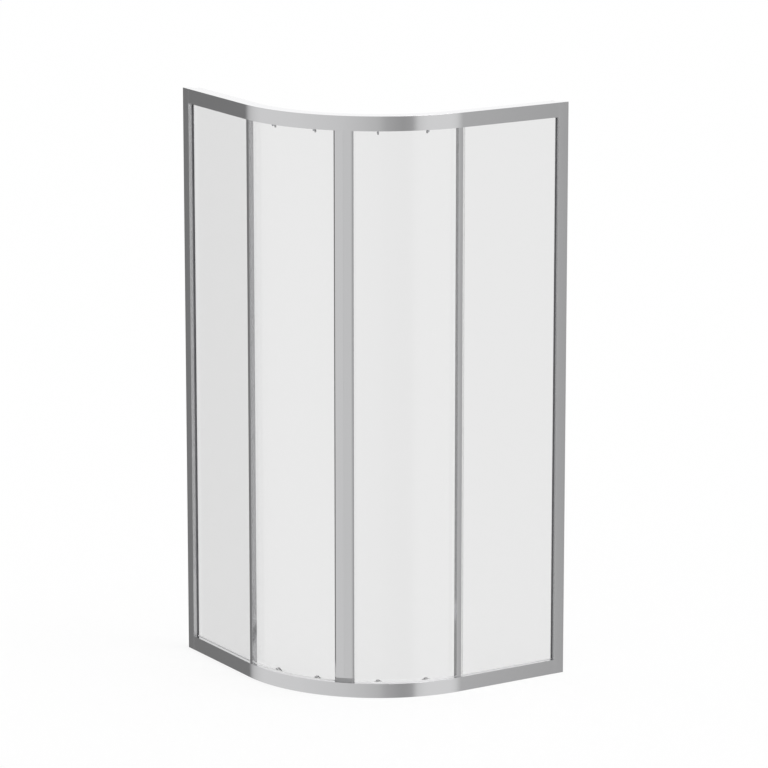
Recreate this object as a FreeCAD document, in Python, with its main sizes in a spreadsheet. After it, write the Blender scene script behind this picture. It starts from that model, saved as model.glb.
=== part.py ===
"""Quadrant shower enclosure: a framed corner entry with two flat panels and two curved sliding doors.

Frame: millimetres, +Z up, the tray at z = 0. The two walls stand at x = +width / 2 and
y = +width / 2. The rails run straight from each wall and join in a quarter bend that looks
towards -X and -Y. The left half of the enclosure is the one beside the wall at +Y.

Every piece is drawn in three measures of the bent frame:
  depth  how far behind the rail's outer face
  back   how far from a chosen line, towards the piece's own wall
  level  how far in from the rail's outer end, or a plain height
"""
import FreeCAD, Part
import math
import os
import re
import Sketcher

doc = FreeCAD.newDocument("QuadrantShower")

# name of each driving size, in millimetres or degrees
SIZES = {
    # whole enclosure
    "width": "880",
    "height": "1850",
    "bend_radius": "490",
    # rails, one extrusion family for top and bottom
    "rail_height": "46.3",
    "rail_depth": "46",
    "rail_wall": "2",
    "rail_upstand": "8",
    "rib_wall": "1.5",
    "rib_extra": "4",
    "rib_foot": "24",
    "lip_level": "26",
    "lip_wall": "2",
    "rim_wall": "1",
    "rim_drop": "2",
    # glazing
    "glass_thick": "6",
    "glass_recess": "15",
    "gasket": "1",
    "gasket_grip": "14",
    "gasket_bead": "0.8",
    "block_height": "4",
    "block_length": "60",
    "pane_headroom": "6",
    # wall posts and the channels behind them
    "post_width": "35",
    "post_depth": "24",
    "post_wall": "2",
    "post_grip": "12",
    "post_gasket": "3.2",
    "post_bead": "3.5",
    "post_cap": "1.5",
    "channel_wall": "2",
    "channel_reach": "20",
    "wall_hole_radius": "2.75",
    "fixing_inset": "150",
    # end stiles of the flat panels
    "stile_recess": "7",
    "stile_before": "4",
    "stile_past": "12",
    "stile_grip": "10",
    "stile_wall": "1.5",
    # doors
    "door_recess": "30",
    "door_overlap": "22",
    "edge_gap": "2",
    "meeting_gap": "0.25",
    "opening_turn": "25",
    # closing profiles
    "closer_width": "32",
    "closer_recess": "4",
    "closer_wall": "1.6",
    "closer_round": "8",
    "closer_grip": "12",
    "closer_headroom": "6",
    "closer_foot_gap": "1",
    "closer_foot": "16.7",
    "closer_cap": "2",
    "foot_notch": "3",
    "magnet_width": "12",
    "magnet_depth": "6.5",
    "magnet_recess": "14",
    # rollers
    "roller_near": "12.7",
    "roller_far": "32.3",
    "wheel_radius": "9",
    "wheel_width": "4",
    "wheel_offset": "1",
    "wheel_gap": "0.3",
    "side_play": "4.2",
    "carrier_play": "3.8",
    "seat_gap": "0.3",
    "axle_radius": "2",
    "axle_fit": "0.06",
    "axle_end": "0.4",
    "carrier_crown": "6",
    "stud_half": "1.4",
    "nut_radius": "3.4",
    "nut_thick": "1.8",
    "screw_fit": "0.05",
    # top carriers
    "carrier_half": "10",
    "carrier_thick": "3",
    "tail_half": "3.4",
    "tail_drop": "11.5",
    # bottom housings and release blocks
    "housing_half": "12",
    "housing_rise": "12",
    "housing_depth": "10",
    "housing_clear": "0.5",
    "release_half": "6",
    "release_fit": "0.25",
    "release_foot": "5",
    "release_travel": "3",
    "thumb_reach": "4",
    # frame fixings
    "connector_length": "30",
    "tongue_length": "6",
    "tongue_inset": "1.5",
    "tongue_fit": "0.1",
    "end_cap": "2",
    "screw_head": "4",
    "screw_head_thick": "2.2",
    "stop_length": "12",
    "stop_height": "14",
}

sheet = doc.addObject("Spreadsheet::Sheet", "Sizes")
for row, (size_name, size_value) in enumerate(SIZES.items(), 1):
    sheet.set(f"A{row}", size_name)
    sheet.set(f"B{row}", size_value)
    sheet.setAlias(f"B{row}", size_name)
doc.recompute()

SIDES = ("left", "right")

# ---- places that several pieces share, as expressions of the sizes ----
BEND_CENTRE = "(bend_radius - width / 2)"
WALL_LINE = "(width - bend_radius)"
POST_LINE = f"({WALL_LINE} - post_width)"
GROOVE_FRONT = "(glass_recess - gasket)"
GROOVE_BACK = "(glass_recess + glass_thick + gasket)"
RIB_FRONT = f"({GROOVE_FRONT} - rib_wall)"
RIB_BACK = f"({GROOVE_BACK} + rib_wall)"
RIB_END = "(lip_level + lip_wall + rib_extra)"
WHEEL_LINE = "(door_recess + wheel_offset)"
RIM = f"({WHEEL_LINE} + wheel_width / 2 + side_play)"
CARRIER = f"({RIM} + rim_wall + carrier_play)"
CARRIER_BACK = f"({CARRIER} + carrier_thick)"
AXLE_LEVEL = "(lip_level - wheel_gap - wheel_radius)"
DOOR_EDGE = "(lip_level + lip_wall + edge_gap)"
GLASS_BACK = "(door_recess + glass_thick)"
SEAT = f"({GLASS_BACK} + seat_gap)"
MIDDLE = "45"
PIVOTS = {"front": f"({MIDDLE} - roller_near)", "rear": f"({MIDDLE} - roller_far)"}
TAIL_LEVEL = "(rail_height + tail_drop - tail_half)"
HOUSING_LEVEL = f"({DOOR_EDGE} + housing_rise - 2)"
FIXING_LEVELS = ("fixing_inset", "(height / 2)", "(height - fixing_inset)")


def bind(text):
    """Put the sheet's name before each size in an expression."""
    return re.sub(r"[a-z]\w*", lambda word: "Sizes." + word[0] if word[0] in SIZES else word[0], text)


def number(text):
    """Value of an expression of the sizes."""
    return float(sheet.evalExpression(bind(text)))


def from_top(level):
    """Height of a place that is given by its distance below the top."""
    return f"(height - ({level}))"


def degrees(length, radius):
    """Turn that a length along an arc takes."""
    return f"(({length}) / ({radius}) * 180 / pi)"


# ---- building blocks ----

def make_body(label):
    """Start the body of one piece."""
    body = doc.addObject("PartDesign::Body", label)
    body.Label = label
    return body


def origin_part(body, role):
    """Plane or axis of the body's own origin."""
    return next(item for item in body.Origin.OriginFeatures if item.Role == role)


def place(body, side, turn, depth="bend_radius", back="0", level="0"):
    """Set a body in the bent frame.

    The body's -X looks out of the enclosure at this turn along the bend, counted from the end
    of the side's own flat panel. Its Y runs along the rail: towards the wall on the left side
    and away from it on the right.
    """
    facing = f"({turn})" if side == "left" else f"(90 - ({turn}))"
    along = f"({back})" if side == "left" else f"(-({back}))"
    reach = f"(bend_radius - ({depth}))"
    body.setExpression("Placement.Rotation.Angle", bind(facing))
    body.setExpression("Placement.Base.x",
                       bind(f"{BEND_CENTRE} - {reach} * cos({facing}) - {along} * sin({facing})"))
    body.setExpression("Placement.Base.y",
                       bind(f"{BEND_CENTRE} - {reach} * sin({facing}) + {along} * cos({facing})"))
    body.setExpression("Placement.Base.z", bind(level))


def sketch_on(body, plane, offset="0"):
    """Empty sketch on one of the body's own origin planes."""
    sketch = body.newObject("Sketcher::SketchObject", body.Name + "Sketch")
    sketch.AttachmentSupport = [(origin_part(body, plane), "")]
    sketch.MapMode = "FlatFace"
    sketch.setExpression("AttachmentOffset.Base.z", bind(offset))
    return sketch


def fix_point(sketch, geometry, point, across, up):
    """Hold a sketch point at two expressions."""
    for kind, text in (("DistanceX", across), ("DistanceY", up)):
        held = sketch.addConstraint(Sketcher.Constraint(kind, -1, 1, geometry, point, number(text)))
        sketch.setExpression(f"Constraints[{held}]", bind(text))


def draw(body, plane, loops, offset="0"):
    """Sketch of closed straight-sided outlines."""
    sketch = sketch_on(body, plane, offset)
    for loop in loops:
        first = sketch.GeometryCount
        corners = [FreeCAD.Vector(number(across), number(up), 0) for across, up in loop]
        following = corners[1:] + corners[:1]
        sketch.addGeometry([Part.LineSegment(a, b) for a, b in zip(corners, following)])
        for index in range(len(loop)):
            after = first + (index + 1) % len(loop)
            sketch.addConstraint(Sketcher.Constraint("Coincident", first + index, 2, after, 1))
        for index, (across, up) in enumerate(loop):
            fix_point(sketch, first + index, 1, across, up)
    return sketch


def draw_circles(body, plane, circles, offset="0"):
    """Sketch of circles, each given as across, up, radius."""
    sketch = sketch_on(body, plane, offset)
    for across, up, radius in circles:
        middle = FreeCAD.Vector(number(across), number(up), 0)
        ring = sketch.addGeometry(Part.Circle(middle, FreeCAD.Vector(0, 0, 1), number(radius)))
        fix_point(sketch, ring, 3, across, up)
        held = sketch.addConstraint(Sketcher.Constraint("Radius", ring, number(radius)))
        sketch.setExpression(f"Constraints[{held}]", bind(radius))
    return sketch


def extrude(body, sketch, length, backwards=False, kind="Pad"):
    """Pad or pocket of a sketch."""
    feature = body.newObject("PartDesign::" + kind, body.Name + kind)
    feature.Profile = sketch
    feature.setExpression("Length", bind(length))
    feature.Reversed = backwards
    return feature


def revolve(body, sketch, axis, turn):
    """Solid of revolution about one of the body's own axes."""
    feature = body.newObject("PartDesign::Revolution", body.Name + "Turn")
    feature.Profile = sketch
    feature.ReferenceAxis = (origin_part(body, axis), [""])
    feature.setExpression("Angle", bind(turn))
    return feature


def runs_through(edge, spot):
    """True where the spot lies on the edge and not at one of its ends."""
    on_edge = edge.distToShape(Part.Vertex(spot))[0] < 0.01
    return on_edge and all((vertex.Point - spot).Length > 0.05 for vertex in edge.Vertexes)


def soften(body, feature, spots, radius):
    """Round the edges that pass through these spots of the feature, given in the body's frame."""
    doc.recompute()
    names = []
    for index, edge in enumerate(feature.Shape.Edges, 1):
        if any(runs_through(edge, spot) for spot in spots):
            names.append(f"Edge{index}")
    if not names:
        raise RuntimeError("no edge to round in " + body.Name)
    fillet = body.newObject("PartDesign::Fillet", body.Name + "Fillet")
    fillet.Base = (feature, names)
    fillet.setExpression("Radius", bind(radius))
    return fillet


def mirror_sign(side):
    """Sign of the body's Y for a distance back towards the wall."""
    return "" if side == "left" else "-"


def outward_sign(side):
    """Sign of an offset along the normal of the XZ plane, which looks towards -Y."""
    return "-" if side == "left" else ""


def upright(label, side, turn, loops, low, high):
    """Vertical extrusion of outlines given as depth, back."""
    body = make_body(label)
    sign = mirror_sign(side)
    place(body, side, turn, level=low)
    plan = [[(f"({depth}) - bend_radius", f"{sign}({back})") for depth, back in loop] for loop in loops]
    extrude(body, draw(body, "XY_Plane", plan), f"({high}) - ({low})")
    return body


def curved(label, side, start, sweep, loops):
    """Outlines given as depth, height, turned about the bend's centre."""
    body = make_body(label)
    place(body, side, start if side == "left" else f"({start}) + ({sweep})")
    section = [[(f"({depth}) - bend_radius", height) for depth, height in loop] for loop in loops]
    revolve(body, draw(body, "XZ_Plane", section), "Z_Axis", sweep)
    return body


def straight(label, side, loops, start, length):
    """Outlines given as depth, height, run along a flat panel towards its wall."""
    body = make_body(label)
    place(body, side, "0", back=start)
    section = [[(f"({depth}) - bend_radius", height) for depth, height in loop] for loop in loops]
    extrude(body, draw(body, "XZ_Plane", section), length, backwards=(side == "left"))
    return body


def plate(label, side, turn, depth, loops, thickness):
    """Plate that faces out of the enclosure, with outlines given as back, height."""
    body = make_body(label)
    place(body, side, turn, depth=depth)
    sign = mirror_sign(side)
    face = [[(f"{sign}({back})", height) for back, height in loop] for loop in loops]
    extrude(body, draw(body, "YZ_Plane", face), thickness)
    return body


def ring(label, side, turn, depth, level, radii, thickness):
    """Round piece with a level axis, from one depth inwards, given its outer and its bore radius."""
    body = make_body(label)
    place(body, side, turn, depth=depth, level=level)
    extrude(body, draw_circles(body, "YZ_Plane", [("0", "0", radius) for radius in radii]), thickness)
    return body


def drill(body, plane, holes, length, backwards=False):
    """Round holes from one of the body's planes, each given as across, up, radius."""
    extrude(body, draw_circles(body, plane, holes), length, backwards, kind="Pocket")


def box_loop(low_across, high_across, low_up, high_up):
    """Rectangle as a loop of corners."""
    return [(low_across, low_up), (high_across, low_up), (high_across, high_up), (low_across, high_up)]


def hexagon(back, level, radius):
    """Six-sided loop with a corner at its top."""
    across = f"{radius} * sqrt(3) / 2"
    corners = [("0", radius), (across, f"{radius} / 2"), (across, f"-{radius} / 2"),
               ("0", f"-{radius}"), (f"-{across}", f"-{radius} / 2"), (f"-{across}", f"{radius} / 2")]
    return [(f"{back} + {off}", f"{level} + {up}") for off, up in corners]


def group(label, pieces):
    """One node that holds several like pieces."""
    compound = doc.addObject("Part::Compound", label)
    compound.Label = label
    compound.Links = pieces
    return compound


# ---- frame: rails ----

def rail_start(inner_edge):
    """Outline that both rails share, from the running lip round to the outer face."""
    lip_under = "(lip_level + lip_wall)"
    rim_back = f"({RIM} + rim_wall)"
    return [
        (RIB_BACK, lip_under),
        (rim_back, lip_under),
        (rim_back, "lip_level - rim_drop"),
        (RIM, "lip_level - rim_drop"),
        (RIM, "lip_level"),
        (RIB_BACK, "lip_level"),
        (RIB_BACK, "rail_wall"),
        *inner_edge,
        ("rail_depth", "0"),
        ("0", "0"),
    ]


def bottom_rail_outline():
    """The bottom rail has a ledge over its outer chamber, a groove for the glass and a water bar."""
    water_bar = [
        ("rail_depth - rail_wall", "rail_wall"),
        ("rail_depth - rail_wall", "rail_upstand"),
        ("rail_depth", "rail_upstand"),
    ]
    return rail_start(water_bar) + [
        ("0", "rail_height"),
        (GROOVE_FRONT, "rail_height"),
        (GROOVE_FRONT, "rib_foot"),
        (RIB_FRONT, "rib_foot"),
        (RIB_FRONT, "rail_height - rail_wall"),
        ("rail_wall", "rail_height - rail_wall"),
        ("rail_wall", "rail_wall"),
        (GROOVE_BACK, "rail_wall"),
        (GROOVE_BACK, "rail_height"),
        (RIB_BACK, "rail_height"),
    ]


def top_rail_outline():
    """The top rail is open below, so that the closing profiles run behind its outer wall."""
    outline = rail_start([("rail_depth", "rail_wall")]) + [
        ("0", "rail_height"),
        ("rail_wall", "rail_height"),
        ("rail_wall", "rail_wall"),
        (RIB_FRONT, "rail_wall"),
        (RIB_FRONT, RIB_END),
        (GROOVE_FRONT, RIB_END),
        (GROOVE_FRONT, "rail_wall"),
        (GROOVE_BACK, "rail_wall"),
        (GROOVE_BACK, RIB_END),
        (RIB_BACK, RIB_END),
    ]
    return [(depth, from_top(level)) for depth, level in outline]


def make_rail(label, outline):
    """Bent rail: the quarter bend and a straight run to each wall post."""
    rail = curved(label, "left", "0", "90", [outline])
    section = rail.Group[0]
    extrude(rail, section, POST_LINE, backwards=True)
    other = draw(rail, "YZ_Plane", [[(f"({depth}) - bend_radius", height) for depth, height in outline]])
    extrude(rail, other, POST_LINE)
    return rail


nodes = {}
nodes["bottom_rail"] = make_rail("bottom_rail", bottom_rail_outline())
nodes["top_rail"] = make_rail("top_rail", top_rail_outline())


# ---- frame: posts and wall channels ----

POST_TOP = from_top("post_cap")
CHANNEL_BACK = "(post_depth - post_wall)"
TONGUE_FRONT = "(post_wall + tongue_inset)"
TONGUE_BACK = "(glass_recess - post_gasket - post_wall - tongue_inset)"
CORNER_LEVELS = {
    "bottom": ("rail_wall", RIB_END),
    "top": (from_top(RIB_END), from_top("rail_wall")),
}
ADJUST_LEVELS = ("fixing_inset", from_top("fixing_inset"))
ADJUST_BACK = f"({WALL_LINE} - channel_reach * 0.6)"


def from_wall(loop):
    """Outline given as depth, distance from the wall."""
    return [(depth, f"{WALL_LINE} - ({off})") for depth, off in loop]


def tongue_loop(low, high, fit="0"):
    """Outline of a connector's tongue, or of the post's slot for it."""
    return [(f"({depth}) - bend_radius", level) for depth, level in box_loop(
        f"{TONGUE_FRONT} - {fit}", f"{TONGUE_BACK} + {fit}",
        f"({low}) + tongue_inset - {fit}", f"({high}) - tongue_inset + {fit}")]


def make_post(side):
    """Hollow post that hides the wall channel and grips the flat glass in its groove."""
    front = "(glass_recess - post_gasket)"
    floor = "(post_width - post_grip)"
    outline = from_wall([
        ("0", "0"),
        ("0", "post_width"),
        (front, "post_width"),
        (front, floor),
        (CHANNEL_BACK, floor),
        (CHANNEL_BACK, "post_width"),
        ("post_depth", "post_width"),
        ("post_depth", "0"),
        (CHANNEL_BACK, "0"),
        (CHANNEL_BACK, f"{floor} - post_wall"),
        (f"{front} - post_wall", f"{floor} - post_wall"),
        (f"{front} - post_wall", "post_width - post_wall"),
        ("post_wall", "post_width - post_wall"),
        ("post_wall", "0"),
    ])
    post = upright(f"{side}_wall_post", side, "0", [outline], "0", POST_TOP)
    slots = [tongue_loop(low, high, "tongue_fit") for low, high in CORNER_LEVELS.values()]
    extrude(post, draw(post, "XZ_Plane", slots), "width", backwards=(side == "right"), kind="Pocket")
    return post


def make_channel(side):
    """Channel that is screwed to the wall, with a round hole for each wall screw."""
    inner_front = "(post_wall + channel_wall)"
    inner_back = f"({CHANNEL_BACK} - channel_wall)"
    outline = from_wall([
        ("post_wall", "0"),
        (CHANNEL_BACK, "0"),
        (CHANNEL_BACK, "channel_reach"),
        (inner_back, "channel_reach"),
        (inner_back, "channel_wall"),
        (inner_front, "channel_wall"),
        (inner_front, "channel_reach"),
        ("post_wall", "channel_reach"),
    ])
    channel = upright(f"{side}_wall_channel", side, "0", [outline], "0", POST_TOP)
    wall_holes = [("post_depth / 2 - bend_radius", level, "wall_hole_radius") for level in FIXING_LEVELS]
    drill(channel, "XZ_Plane", wall_holes, "width", backwards=(side == "right"))
    return channel


for side in SIDES:
    nodes[f"{side}_wall_post"] = make_post(side)
    nodes[f"{side}_wall_channel"] = make_channel(side)

nodes["post_caps"] = group("post_caps", [
    upright(f"{side}_post_cap", side, "0",
            [from_wall(box_loop("0", "post_depth", "0", "post_width"))], POST_TOP, "height")
    for side in SIDES])


# ---- frame: corner connectors, adjusting screws and rail end caps ----

def connector(label, side, low, high):
    """Block in the rail's outer chamber with a tongue that hooks through the post's slot."""
    block = straight(label, side, [box_loop("rail_wall", RIB_FRONT, low, high)],
                     f"{POST_LINE} - connector_length", "connector_length")
    tongue = draw(block, "XZ_Plane", [tongue_loop(low, high)], offset=f"{outward_sign(side)}connector_length")
    extrude(block, tongue, "post_wall + tongue_length", backwards=(side == "left"))
    return block


nodes["corner_connectors"] = group("corner_connectors", [
    connector(f"{side}_{end}_connector", side, low, high)
    for side in SIDES for end, (low, high) in CORNER_LEVELS.items()])

nodes["adjusting_screws"] = group("adjusting_screws", [
    plate(f"{side}_adjusting_screw_{index}", side, "0", "post_depth",
          [hexagon(ADJUST_BACK, level, "screw_head")], "screw_head_thick")
    for side in SIDES for index, level in enumerate(ADJUST_LEVELS, 1)])

nodes["rail_end_caps"] = group("rail_end_caps", [
    straight(f"{side}_{end}_end_cap", side, [box_loop("post_depth", "rail_depth", low, high)],
             POST_LINE, "end_cap")
    for side in SIDES
    for end, (low, high) in {
        "bottom": ("0", "lip_level + lip_wall"),
        "top": (from_top("lip_level + lip_wall"), "height"),
    }.items()])


# ---- flat panels: glass, stile, gaskets and setting blocks ----

PANE_LOW = "(rail_wall + block_height)"
PANE_HIGH = from_top("rail_wall + pane_headroom")
PANE_BACK = "(glass_recess + glass_thick)"
PANE_FREE = "(stile_before - stile_grip + 0.5)"
PANE_WALL = f"({POST_LINE} + post_grip - 1)"
STILE_TOP = from_top(RIB_END)


def make_stile(side):
    """Slim hollow stile that caps the free edge of the flat glass and stands on the ledge."""
    floor = "(stile_before - stile_grip)"
    outer = [
        ("stile_recess", "-stile_past"),
        ("stile_recess", "stile_before"),
        (GROOVE_FRONT, "stile_before"),
        (GROOVE_FRONT, floor),
        (GROOVE_BACK, floor),
        (GROOVE_BACK, "stile_before"),
        (RIB_BACK, "stile_before"),
        (RIB_BACK, "-stile_past"),
    ]
    hollow = [
        ("stile_recess + stile_wall", "stile_wall - stile_past"),
        ("stile_recess + stile_wall", "stile_before - stile_wall"),
        (f"{GROOVE_FRONT} - stile_wall", "stile_before - stile_wall"),
        (f"{GROOVE_FRONT} - stile_wall", f"{floor} - stile_wall"),
        (GROOVE_BACK, f"{floor} - stile_wall"),
        (GROOVE_BACK, "stile_wall - stile_past"),
    ]
    return upright(f"{side}_fixed_stile", side, "0", [outer, hollow], "rail_height", STILE_TOP)


def make_gaskets(side):
    """Rubber on both faces of the flat glass, along the rails, in the post and in the stile."""
    strips = []
    rail_length = f"{POST_LINE} - stile_before"
    faces = {"outer": (GROOVE_FRONT, "glass_recess"), "inner": (PANE_BACK, GROOVE_BACK)}
    post_faces = {"outer": ("glass_recess - post_gasket", "glass_recess"),
                  "inner": (PANE_BACK, CHANNEL_BACK)}
    for name, (front, rear) in faces.items():
        strips.append(straight(
            f"{side}_{name}_foot_gasket", side,
            [box_loop(front, rear, "rail_height - gasket_grip", "rail_height + gasket_bead")],
            "stile_before", rail_length))
        strips.append(straight(
            f"{side}_{name}_head_gasket", side,
            [box_loop(front, rear, from_top(f"{RIB_END} + gasket_bead"), from_top(f"{RIB_END} - gasket_grip"))],
            "stile_before", rail_length))
        strips.append(upright(
            f"{side}_{name}_stile_gasket", side, "0",
            [box_loop(front, rear, "stile_before - stile_grip + 1", "stile_before")],
            "rail_height", STILE_TOP))
        front, rear = post_faces[name]
        strips.append(upright(
            f"{side}_{name}_post_gasket", side, "0",
            [box_loop(front, rear, f"{POST_LINE}", f"{POST_LINE} + post_grip - 1")],
            "rail_height", from_top("rail_height")))
    bead = [box_loop("glass_recess - post_gasket", "glass_recess", f"{POST_LINE} - post_bead", POST_LINE)]
    strips.append(upright(f"{side}_post_bead", side, "0", bead,
                          "rail_height + gasket_bead", from_top("rail_height")))
    return group(f"{side}_glazing_gaskets", strips)


def make_pane(side):
    """Flat glass of one side."""
    return upright(f"{side}_fixed_glass", side, "0",
                   [box_loop("glass_recess", PANE_BACK, PANE_FREE, PANE_WALL)], PANE_LOW, PANE_HIGH)


for side in SIDES:
    nodes[f"{side}_fixed_glass"] = make_pane(side)
    nodes[f"{side}_fixed_stile"] = make_stile(side)
    nodes[f"{side}_glazing_gaskets"] = make_gaskets(side)

nodes["setting_blocks"] = group("setting_blocks", [
    straight(f"{side}_setting_block_{index}", side,
             [box_loop(GROOVE_FRONT, GROOVE_BACK, "rail_wall", PANE_LOW)], start, "block_length")
    for side in SIDES
    for index, start in enumerate(("block_length / 2", f"{POST_LINE} - block_length * 1.5"), 1)])


# ---- bottom groove infill and the door stops ----

INFILL_START = degrees("stile_past + 0.3", "bend_radius - rail_height / 2")
infill_outline = box_loop(GROOVE_FRONT, GROOVE_BACK, "rail_height - gasket_grip", "rail_height")
nodes["groove_infill"] = curved("groove_infill", "left", INFILL_START, f"90 - 2 * {INFILL_START}",
                                [infill_outline])

STOP_START = (f"((opening_turn - {PIVOTS['rear']}) * pi / 180 * (bend_radius - {WHEEL_LINE})"
              f" + wheel_radius + 1)")
nodes["door_stops"] = group("door_stops", [
    straight(f"{side}_door_stop", side,
             [box_loop(RIB_BACK, RIM, from_top("lip_level"), from_top("lip_level - stop_height"))],
             STOP_START, "stop_length")
    for side in SIDES])


# ---- doors: curved glass, closing profile, seals ----

GLASS_RADIUS = "(bend_radius - door_recess)"
CLOSER_HALF = "(closer_width / 2)"
CLOSER_TURN = degrees(CLOSER_HALF, "bend_radius - closer_recess")
CLOSER_ANGLE = f"({MIDDLE} - {CLOSER_TURN})"
CLOSER_FLOOR = f"({CLOSER_HALF} - closer_grip)"
CLOSER_GROOVE_BACK = f"({GLASS_BACK} + gasket + 0.3)"
CLOSER_BACK = f"({CLOSER_GROOVE_BACK} + closer_wall)"
CLOSER_TOP = from_top(f"{RIB_END} + closer_headroom")
FOOT_LOW = "(rail_height + closer_foot_gap)"
CLOSER_LOW = f"({FOOT_LOW} + closer_foot)"
GLASS_START = f"(-{degrees('door_overlap', GLASS_RADIUS)})"
GLASS_END = f"({CLOSER_ANGLE} - {degrees(f'{CLOSER_FLOOR} + gasket', GLASS_RADIUS)})"
NUT_FRONT = "(door_recess - nut_thick)"


def meeting(depth, inset="meeting_gap"):
    """Back distance of the plane where the doors meet, in the closing profile's own frame."""
    return f"(({inset}) - (bend_radius - ({depth})) * tan({CLOSER_TURN}))"


def make_door_glass(side):
    """Bent glass with a round hole for each roller's screw."""
    pane = curved(f"{side}_door_glass", side, GLASS_START, f"{GLASS_END} - {GLASS_START}",
                  [box_loop("door_recess", GLASS_BACK, DOOR_EDGE, from_top(DOOR_EDGE))])
    for name, turn in PIVOTS.items():
        for end, level in (("top", from_top(TAIL_LEVEL)), ("bottom", HOUSING_LEVEL)):
            cutter = pane.newObject("PartDesign::SubtractiveCylinder", f"{side}_{end}_{name}_hole")
            swing = number(f"{turn} - {GLASS_START}" if side == "left" else f"{GLASS_END} - {turn}")
            outwards = FreeCAD.Vector(-math.cos(math.radians(swing)), -math.sin(math.radians(swing)), 0)
            cutter.setExpression("Radius", bind("axle_radius + screw_fit"))
            cutter.setExpression("Height", bind("glass_thick * 2"))
            base = outwards * number(f"{GLASS_RADIUS} - glass_thick * 1.5")
            base.z = number(level)
            cutter.Placement = FreeCAD.Placement(
                base, FreeCAD.Rotation(FreeCAD.Vector(0, 0, 1), outwards))
    return pane


def closer_outline():
    """Outer outline of a closing profile, with the groove for the glass and the magnet's pocket."""
    return [
        ("closer_recess", meeting("closer_recess")),
        ("closer_recess", CLOSER_HALF),
        ("door_recess - gasket", CLOSER_HALF),
        ("door_recess - gasket", CLOSER_FLOOR),
        (CLOSER_GROOVE_BACK, CLOSER_FLOOR),
        (CLOSER_GROOVE_BACK, CLOSER_HALF),
        (CLOSER_BACK, CLOSER_HALF),
        (CLOSER_BACK, meeting(CLOSER_BACK)),
    ]


MAGNET_BACK = "(magnet_recess + magnet_width)"
MAGNET_FLOOR = f"(magnet_depth - {CLOSER_HALF})"


def make_closer(side):
    """Hollow closing profile: the door's pull stile, rounded at its outer edge."""
    pocket = [
        (MAGNET_BACK, meeting(MAGNET_BACK)),
        (MAGNET_BACK, MAGNET_FLOOR),
        ("magnet_recess", MAGNET_FLOOR),
        ("magnet_recess", meeting("magnet_recess")),
    ]
    skin = "meeting_gap + closer_wall"
    front = "(closer_recess + closer_wall)"
    beside = f"({CLOSER_HALF} - closer_wall)"
    hollow = [
        (front, meeting(front, skin)),
        (front, f"{CLOSER_HALF} - closer_round"),
        ("closer_recess + closer_round", beside),
        ("door_recess - gasket - closer_wall", beside),
        ("door_recess - gasket - closer_wall", f"{CLOSER_FLOOR} - closer_wall"),
        (CLOSER_GROOVE_BACK, f"{CLOSER_FLOOR} - closer_wall"),
        (CLOSER_GROOVE_BACK, meeting(CLOSER_GROOVE_BACK, skin)),
        (f"{MAGNET_BACK} + closer_wall", meeting(f"{MAGNET_BACK} + closer_wall", skin)),
        (f"{MAGNET_BACK} + closer_wall", f"{MAGNET_FLOOR} + closer_wall"),
        ("magnet_recess - closer_wall", f"{MAGNET_FLOOR} + closer_wall"),
        ("magnet_recess - closer_wall", meeting("magnet_recess - closer_wall", skin)),
    ]
    closer = upright(f"{side}_closing_profile", side, CLOSER_ANGLE,
                     [closer_outline() + pocket, hollow], CLOSER_LOW, CLOSER_TOP)
    round_closer(closer, side, f"({CLOSER_TOP} - {CLOSER_LOW})")
    return closer


def round_closer(body, side, tall):
    """Round the outer edge of a closing profile or its cap."""
    sign = -1 if side == "right" else 1
    spot = FreeCAD.Vector(number("closer_recess - bend_radius"), sign * number(CLOSER_HALF),
                          number(tall) / 2)
    return soften(body, body.Tip, [spot], "closer_round")


def make_end_caps(side):
    """Plastic caps that close the profile at its foot and at its top."""
    foot = upright(f"{side}_foot_cap", side, CLOSER_ANGLE, [closer_outline()], FOOT_LOW, CLOSER_LOW)
    rounded = round_closer(foot, side, "closer_foot")
    sign = -1 if side == "right" else 1
    ends = [FreeCAD.Vector(number(f"({depth}) - bend_radius"), sign * number(meeting(depth)), 0)
            for depth in ("closer_recess", CLOSER_BACK)]
    soften(foot, rounded, [(ends[0] + ends[1]) / 2], "foot_notch")
    head = upright(f"{side}_head_cap", side, CLOSER_ANGLE, [closer_outline()],
                   CLOSER_TOP, f"{CLOSER_TOP} + closer_cap")
    round_closer(head, side, "closer_cap")
    return group(f"{side}_closing_end_caps", [foot, head])


def make_magnet(side):
    """Magnetic strip in the pocket of the meeting face."""
    outline = [
        ("magnet_recess", meeting("magnet_recess")),
        (MAGNET_BACK, meeting(MAGNET_BACK)),
        (MAGNET_BACK, MAGNET_FLOOR),
        ("magnet_recess", MAGNET_FLOOR),
    ]
    return upright(f"{side}_magnetic_strip", side, CLOSER_ANGLE, [outline], CLOSER_LOW, CLOSER_TOP)


def make_closer_gasket(side):
    """Channel of rubber between the bent glass and the closing profile's groove."""
    front = "(door_recess - gasket)"
    outline = [
        (front, CLOSER_HALF),
        (front, CLOSER_FLOOR),
        (CLOSER_GROOVE_BACK, CLOSER_FLOOR),
        (CLOSER_GROOVE_BACK, CLOSER_HALF),
        (f"{GLASS_BACK} + 0.4", CLOSER_HALF),
        (f"{GLASS_BACK} + 0.4", f"{CLOSER_FLOOR} + gasket - 0.2"),
        ("door_recess - 0.1", f"{CLOSER_FLOOR} + gasket - 0.2"),
        ("door_recess - 0.1", CLOSER_HALF),
    ]
    return upright(f"{side}_closing_gasket", side, CLOSER_ANGLE, [outline], CLOSER_LOW, CLOSER_TOP)


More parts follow.
